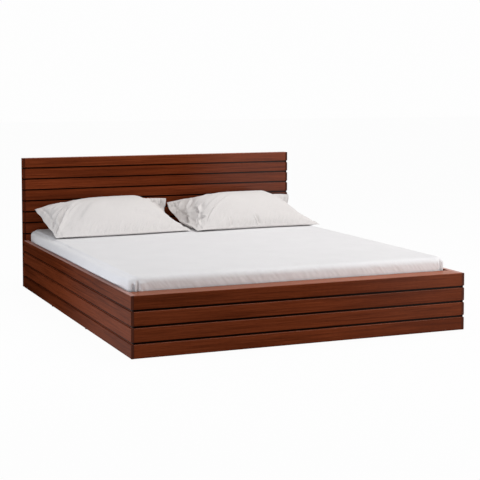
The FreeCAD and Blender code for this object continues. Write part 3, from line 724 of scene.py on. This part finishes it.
def doubled(grid, axis):
    """Twice as many steps along an axis, on a smooth curve through the points."""
    grid = np.moveaxis(grid, axis, 0)
    longer = np.concatenate((2 * grid[:1] - grid[1:2], grid, 2 * grid[-1:] - grid[-2:-1]))
    result = np.empty((2 * len(grid) - 1, *grid.shape[1:]))
    result[::2] = grid
    result[1::2] = (9 * (longer[1:-2] + longer[2:-1]) - longer[:-3] - longer[3:]) / 16
    return np.moveaxis(result, 0, axis)


def shares(across, along):
    """How far each point of a case lies across its width and into its depth, from 0 to 1."""
    return np.meshgrid(np.linspace(0, 1, across + 1), np.linspace(0, 1, along + 1), indexing="ij")


def inside(share):
    """How far a point lies from the nearer of two edges."""
    return np.minimum(share, 1 - share)


def sewn_grid(across, along):
    """Point numbers of a case's upper and lower sheet, which share their border, and its faces."""
    upper = np.arange((across + 1) * (along + 1)).reshape(across + 1, along + 1)
    lower = upper.copy()
    lower[1:-1, 1:-1] = upper.size + np.arange((across - 1) * (along - 1)).reshape(across - 1, along - 1)
    faces = []
    for i in range(across):
        for j in range(along):
            faces.append((upper[i, j], upper[i + 1, j], upper[i + 1, j + 1], upper[i, j + 1]))
            faces.append((lower[i, j], lower[i, j + 1], lower[i + 1, j + 1], lower[i + 1, j]))
    return upper, lower, faces


def sewn(top, bottom):
    """One row of values for a case's points: the upper sheet, then the inner part of the lower one."""
    rest = top.shape[2:]
    return np.concatenate((top.reshape(-1, *rest), bottom[1:-1, 1:-1].reshape(-1, *rest)))


def crease(flat, span, start, bend, end, width, depth):
    """Height of one fold along a curve of three points: steep on its left, round on its right."""
    start, bend, end = (np.array(point) / 100 * span for point in (start, bend, end))
    width, depth = width / 1000, depth / 1000
    count = 24
    steps = np.linspace(0, 1, count + 1)[:, None]
    line = (1 - steps) ** 2 * start + 2 * steps * (1 - steps) * bend + steps ** 2 * end
    run = np.gradient(line, axis=0)
    left = np.column_stack((-run[:, 1], run[:, 0])) / np.linalg.norm(run, axis=1)[:, None]
    apart = flat[..., None, :] - line
    reach = np.linalg.norm(apart, axis=-1)
    nearest = reach.argmin(-1)[..., None]
    off = -np.take_along_axis((apart * left).sum(-1), nearest, -1)[..., 0]
    beyond = np.maximum(np.take_along_axis(reach, nearest, -1)[..., 0] ** 2 - off ** 2, 0)
    done = nearest[..., 0] / count
    steep, round_side, valley_off, valley_depth = 0.8 * width, 1.9 * width, 1.5 * width, 0.7
    ridge = hump(off, 0, np.where(off > 0, round_side, steep))
    valley = valley_depth * hump(off, -valley_off, steep)
    fading = fade(done, -0.05, 0.3) * (1 - fade(done, 0.6, 1.05)) * np.exp(-beyond / width ** 2)
    return depth * (ridge - valley) * fading


case_cells = (66, 40)
case_floor = sheet_high.z + 0.0008


def stuffed_form(corners, front_bow, ears, swell, crown, sags, pinches):
    """A case round its filling: its upper and lower sheet, and how full it is at each point."""
    wide, deep = shares(*case_cells)
    left, front = 1 - wide, 1 - deep
    parts = (left * front, wide * front, left * deep, wide * deep)
    seam = sum(part[..., None] * corner for part, corner in zip(parts, corners))
    back_bow, ear_width, end_width, lean = -0.02, 0.14, 0.2, 0.6
    seam[..., 1] += 4 * wide * left * (front_bow * front + back_bow * deep)
    to_right = fade(wide, ear_width, 0.9)
    left_ear = ears[0] * fade(wide, 0, ear_width) * (1 - to_right)
    right_ear = ears[1] * fade(left, 0, ear_width) * to_right
    seam[..., 2] += deep * (left_ear + right_ear)
    at_left, at_right = 1 - fade(wide, 0, end_width), fade(wide, 1 - end_width, 1)
    for at_end, inward, sag, pinch in zip((at_left, at_right), (1, -1), sags, pinches):
        seam[..., 0] += inward * pinch * at_end * np.sin(np.pi * deep ** 1.4)
        seam[..., 1] += lean * sag * at_end * np.sin(np.pi * deep ** 3)
        seam[..., 2] -= sag * at_end * np.sin(np.pi * deep ** 1.6) ** 0.8
    full, tail = swell
    tip_reach, tip_curve, slope = 0.58, 0.42, 1.8
    towards_tip = wide + (1 - tail) * np.minimum(deep / tip_reach, 1) ** tip_curve
    filled = (1 - np.maximum(1 - wide / full, 0) ** slope) * (1 - fade(towards_tip, 0.98, 1.19))
    filled *= fade(left, 0, 0.06)
    arch = np.sin(np.pi * deep)
    rise, run = corners[2][2] - corners[0][2], corners[2][1] - corners[0][1]
    upward = np.array((0.0, -rise, run)) / math.hypot(rise, run)
    hem_wall, underside = 0.0025, 0.09
    hem = hem_wall * np.minimum(1, 30 * inside(wide)) * np.minimum(1, 20 * inside(deep))
    upper = seam + upward * (crown * filled * arch + hem)[..., None]
    lower = seam - upward * (underside * filled * arch + hem)[..., None]
    lower[..., 2] = np.maximum(lower[..., 2], case_floor)
    upper[..., 2] = np.maximum(upper[..., 2], lower[..., 2] + 2 * hem)
    return upper, lower, filled


def settled_form(name, upper, lower, filled, span):
    """A case's two sheets after a cloth simulation that moves them a little."""
    most_drift, smoothing = 0.012, 2
    wide, deep = shares(*case_cells)
    arch = np.sin(np.pi * deep)
    upper_number, lower_number, faces = sewn_grid(*case_cells)
    points = sewn(upper, lower)
    trial = laid_out(name + "_trial", points, faces)
    spare_width, spare_depth = 1.03 + 0.05 * arch, 1.02 + 0.08 * filled
    flat = np.stack(((wide - 0.5) * span[0] * spare_width, (deep - 0.5) * span[1] * spare_depth, 0 * wide),
                    axis=-1)
    weighed_down = 0.3
    pinned = sewn(0 * filled, (filled > weighed_down).astype(float))
    pinned[upper_number[[0, 0, -1, -1], [0, -1, 0, -1]]] = 1
    stuffed = sewn(filled * arch, filled * arch)
    drift = blown_up(trial, sewn(flat, flat), stuffed, pinned, pressure=4.0, frames=24) - points
    length = np.maximum(np.linalg.norm(drift, axis=1), 1e-9)
    points += drift * np.minimum(1, most_drift / length)[:, None]
    bpy.data.objects.remove(trial)
    return eased(points[upper_number], smoothing), eased(points[lower_number], smoothing)


def stitch(tree, given):
    """One stitch of sewing thread, drawn tight at its ends."""
    fill = {"Segments": 8, "Rings": 4, "Radius": 1.0}
    bead = added(tree, "GeometryNodeMeshUVSphere", fill)
    fill = {"X": given["Half Length"], "Y": given["Half Width"], "Z": given["Half Width"]}
    size = added(tree, "ShaderNodeCombineXYZ", fill)
    return added(tree, "GeometryNodeTransform", {"Geometry": bead, "Scale": size})


stitch_tree = repeater("hem_stitches", stitch, ("Half Length", "Half Width"))


def pillow(name, corners, folds, material, **form):
    """A stuffed case between its front left, front right, back left and back right corner.

    Its form is how far the front seam bows; how far the back seam's two ears stand up; where along the width
    the filling has swollen to its full height, and where its tail to the front right corner begins; the
    crown's height; and how far the left and the right end sag and are pinched in.
    """
    corners = np.array(corners)
    span = np.linalg.norm(corners[1:3] - corners[0], axis=1)
    upper, lower, filled = stuffed_form(corners, **form)
    upper, lower = settled_form(name, upper, lower, filled, span)
    for axis in (0, 1, 0, 1):
        upper, lower = doubled(upper, axis), doubled(lower, axis)
    across, along = upper.shape[0] - 1, upper.shape[1] - 1
    wide, deep = shares(across, along)
    flat = np.stack((wide * span[0], deep * span[1]), axis=-1)
    thickness = np.linalg.norm(upper - lower, axis=-1)
    outward = np.cross(np.gradient(upper, axis=0), np.gradient(upper, axis=1))
    outward /= np.maximum(np.linalg.norm(outward, axis=-1), 1e-12)[..., None]

    raised = sum(crease(flat, span, *fold) for fold in folds)
    slanted = np.stack((flat[..., 0] - 0.7 * flat[..., 1], 0.3 * flat[..., 1], 0 * wide), axis=-1)
    slack, taut_share = 1 - fade(thickness, 0.02, 0.12), 0.12
    for scale, height, seed in ((30.0, 0.0036, 1.0), (80.0, 0.0026, 4.0), (150.0, 0.0014, 7.0)):
        rumpled = ripple(slanted.reshape(-1, 3), scale, seed + span[0]).reshape(wide.shape)
        raised += height * rumpled * (taut_share + (1 - taut_share) * slack)
    hem_inset, groove_depth, groove_width = 0.034, 0.0038, 0.0055
    for end in (wide, 1 - wide):
        raised -= groove_depth * hump(end * span[0], hem_inset, groove_width)
    raised *= fade(inside(wide), 0, 0.02) * fade(inside(deep), 0, 0.03)
    upper += outward * raised[..., None]
    lower += outward * (raised * (1 - fade(thickness, 0.01, 0.04)))[..., None]
    along_end = np.column_stack((deep[0], 0 * deep[0], 0 * deep[0]))
    flap_swing, flap_width = 0.006, 0.09
    for end, side in ((wide, -1), (1 - wide, 1)):
        wavy = side * flap_swing * ripple(along_end, 7.0, side + 3.3 * span[1])
        flap = wavy * (1 - fade(end, 0, flap_width)) * np.sin(np.pi * deep) ** 0.5
        upper[..., 0] += flap
        lower[..., 0] += flap

    head_clearance, lip_height, least_wall = 0.002, 0.005, 0.003
    back_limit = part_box("headboard_plank_05")[0].y - head_clearance
    lip = case_floor + lip_height * (1 - fade(deep, 0.03, 0.08))
    for sheet in (upper, lower):
        sheet[..., 1] = np.minimum(sheet[..., 1], back_limit)
        sheet[..., 2] = np.maximum(sheet[..., 2], lip)
    held = np.minimum(1, 40 * inside(wide)) * np.minimum(1, 30 * inside(deep))
    upper[..., 2] = np.maximum(upper[..., 2], lower[..., 2] + least_wall * held)
    case = laid_out(name + "_case", sewn(upper, lower), sewn_grid(across, along)[2], sewn(flat, flat))
    case.data.materials.append(material)
    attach(case, name)
    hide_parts(name)

    stitch_lift, unstitched = 0.0003, 4
    seam_points, seam_edges = [], []
    for end in (hem_inset / span[0], 1 - hem_inset / span[0]):
        row = round(end * across)
        line = (upper[row] + stitch_lift * outward[row])[unstitched:-unstitched]
        first = len(seam_points)
        seam_edges += [(first + step, first + step + 1) for step in range(len(line) - 1)]
        seam_points += list(line)
    stitches = repeated(name + "_stitches", seam_points, seam_edges, stitch_tree, {
        "Spacing": 0.0046, "Half Length": 0.0016, "Half Width": 0.0004, "Finish": material})
    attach(stitches, name)


case_cotton = cotton("white_pillow_cotton", seen(222, 218, 216), slub=0.6)

# Each fold is three points of its path, in per cent of the width and depth, and its width and height in mm.
left_corners = ((-0.780, 0.462, 0.349), (0.018, 0.519, 0.347), (-0.778, 0.959, 0.457), (0.022, 0.959, 0.493))
left_folds = [
    ((2, 24), (9, 50), (25, 68), 8, 20),
    ((2, 46), (8, 56), (17, 62), 6, 15),
    ((9, 22), (12, 46), (30, 72), 12, 15),
    ((3, 76), (10, 82), (18, 80), 7, 10),
    ((2, 8), (5, 20), (14, 36), 6, 16),
    ((1.5, 34), (5, 42), (11, 47), 5, 9),
    ((5, 62), (11, 70), (21, 74), 6, 9),
    ((3, 14), (10, 34), (20, 50), 6, 10),
    ((13, 30), (19, 48), (30, 60), 7, 6),
    ((20, 18), (26, 34), (38, 52), 18, 3),
    ((90, 60), (86, 72), (78, 78), 6, 11),
    ((96, 62), (92, 76), (83, 86), 6, 14),
    ((95.5, 70), (95, 84), (95.5, 105), 6, -15),
    ((90, 78), (90, 90), (88, 102), 7, -16),
    ((93, 70), (92, 82), (86, 94), 6, -15),
]
pillow("pillow_left", left_corners, left_folds, case_cotton, front_bow=-0.022, ears=(0.022, 0.006),
       swell=(0.38, 0.70), crown=0.095, sags=(0.0, 0.080), pinches=(0.0, 0.012))
right_corners = ((0.036, 0.470, 0.350), (0.822, 0.500, 0.347), (0.026, 0.960, 0.467), (0.830, 0.960, 0.488))
right_folds = [
    ((5, 10), (10, 34), (16, 52), 7, -12),
    ((6, 62), (12, 66), (16, 84), 7, -11),
    ((2, 34), (5, 56), (10, 66), 8, 15),
    ((4, 22), (9, 34), (12, 20), 7, -12),
    ((3, 62), (8, 58), (11, 70), 6, -10),
    ((10, 30), (13, 42), (11, 58), 7, 11),
    ((2, 74), (6, 76), (9, 90), 8, 12),
    ((2, 10), (6, 20), (12, 34), 8, 12),
    ((3, 52), (7, 48), (13, 50), 6, 9),
    ((1.5, 90), (4.5, 94), (7, 86), 6, 9),
    ((12, 34), (24, 46), (38, 66), 7, 5),
    ((13, 44), (22, 54), (36, 74), 6, 5),
    ((12, 56), (18, 64), (30, 82), 7, 6),
    ((14, 26), (26, 36), (42, 56), 7, 4),
    ((11, 12), (16, 26), (28, 40), 7, 6),
    ((51, 1), (50.5, 6), (49, 16), 6, -8),
    ((28, 1), (28.5, 6), (29, 14), 6, -6),
    ((95, 60), (92, 74), (82, 86), 7, 9),
    ((94, 76), (93, 88), (93.5, 99), 7, 9),
]
pillow("pillow_right", right_corners, right_folds, case_cotton, front_bow=0.010, ears=(0.014, 0.004),
       swell=(0.40, 0.685), crown=0.099, sags=(0.047, 0.075), pinches=(0.003, 0.0))


# Studio. A pale seamless floor, a white surround, soft lamps, and the camera where the photograph was taken.
# Floor and surround are white where they are looked at, directly or in a reflection, and light the bed dimly.
scene.view_settings.view_transform = "Standard"


def seen_directly(tree):
    """One where the camera, a reflection or glass looks, and zero for gathered light."""
    path = place(tree, "ShaderNodeLightPath").outputs
    looked_at = reckoned(tree, "MAXIMUM", path["Is Camera Ray"], path["Is Glossy Ray"])
    return reckoned(tree, "MAXIMUM", looked_at, path["Is Transmission Ray"])


ambient_colour, ambient_level = (0.98, 0.985, 1, 1), 0.35
surround_white = (0.987, 0.987, 0.987, 1)
surround = bpy.data.worlds.new("white_surround")
surround.use_nodes = True
sky = surround.node_tree
sky.nodes.clear()
ambient = added(sky, "ShaderNodeBackground", {"Color": ambient_colour, "Strength": ambient_level})
white = added(sky, "ShaderNodeBackground", {"Color": surround_white, "Strength": 1.0})
choice = added(sky, "ShaderNodeMixShader", {0: seen_directly(sky), 1: ambient, 2: white})
place(sky, "ShaderNodeOutputWorld", {0: choice})
scene.world = surround

floor_half = 30.0
floor_corners = [(x * floor_half, y * floor_half, 0) for x, y in ((-1, -1), (1, -1), (1, 1), (-1, 1))]
floor = laid_out("floor", floor_corners, [(0, 1, 2, 3)])
floor_grey, floor_white_share = (0.66, 0.66, 0.66, 1), 0.97
floor_paint = bpy.data.materials.new("pale_floor")
floor_paint.use_nodes = True
paint = floor_paint.node_tree
paint.nodes.clear()
matt = added(paint, "ShaderNodeBsdfDiffuse", {"Color": floor_grey})
bright = added(paint, "ShaderNodeEmission", {"Color": (1, 1, 1, 1), "Strength": 1.0})
share = reckoned(paint, "MULTIPLY", seen_directly(paint), floor_white_share)
choice = added(paint, "ShaderNodeMixShader", {0: share, 1: matt, 2: bright})
place(paint, "ShaderNodeOutputMaterial", {0: choice})
floor.data.materials.append(floor_paint)


def softbox(name, spot, aim, size, power, colour):
    """A rectangular lamp at a spot, turned to what it lights."""
    lamp = bpy.data.lights.new(name, "AREA")
    lamp.shape = "RECTANGLE"
    lamp.size, lamp.size_y = size
    lamp.energy = power
    lamp.color = colour
    holder = linked(name, lamp)
    holder.location = spot
    holder.rotation_euler = (Vector(aim) - Vector(spot)).to_track_quat("-Z", "Y").to_euler()
    holder.visible_camera = False


softbox("overhead_softbox", spot=(1.5, -0.3, 4.2), aim=(0.3, 0.0, 0.3), size=(4.0, 4.0), power=148,
        colour=(1.0, 0.985, 0.975))
softbox("right_softbox", spot=(1.4, -3.1, 0.4), aim=(0.4, -1.03, 0.2), size=(0.9, 0.7), power=24.5,
        colour=(0.98, 0.98, 0.98))
softbox("left_softbox", spot=(-2.3, -0.8, 0.35), aim=(-0.83, -0.45, 0.2), size=(0.9, 0.6), power=12.8,
        colour=(0.88, 0.92, 1.0))

camera_tilt, camera_turn = math.radians(86.0), math.radians(-22.736)
camera_data = bpy.data.cameras.new("portrait_camera")
camera_data.sensor_width = 36.0
camera_data.lens = 92.84
camera_data.shift_y = -0.15
camera = linked("portrait_camera", camera_data)
camera.location = (-2.427, -6.035, 1.192)
camera.rotation_euler = (camera_tilt, 0.0, camera_turn)
scene.camera = camera
